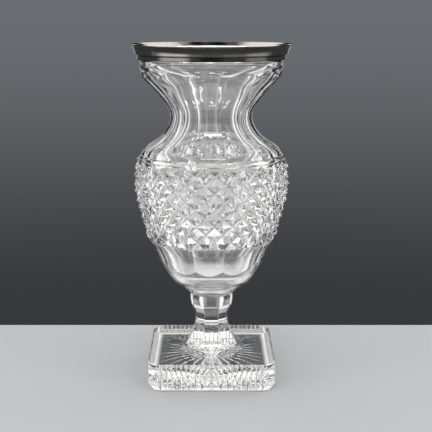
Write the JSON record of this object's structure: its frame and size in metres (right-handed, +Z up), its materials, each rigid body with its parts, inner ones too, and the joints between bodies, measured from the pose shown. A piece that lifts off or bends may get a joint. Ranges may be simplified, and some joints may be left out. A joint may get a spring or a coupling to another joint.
{
  "type": "urn vase",
  "caption": "Footed urn vase of clear cut crystal with a net of pointed diamonds round its belly, a square foot and a silver collar round the mouth, for cut flowers",
  "frame": {"origin": "centre of the underside of the square foot, on the surface it stands on", "axes": "+Z up along the axis of the vase, the front side of the foot faces -Y"},
  "size_m": [0.1338, 0.1338, 0.28],
  "materials": {
    "crystal": "cut and polished",
    "silver": "spun and polished silver",
    "plaster": "set plaster"
  },
  "bodies": {
    "root": {"crystal_bowl": "crystal", "joining_wafer": "crystal", "stem_foot": "crystal", "silver_collar": "silver", "rim_wire": "silver", "inner_sleeve": "silver", "plaster_bed": "plaster"}
  },
  "joints": []
}
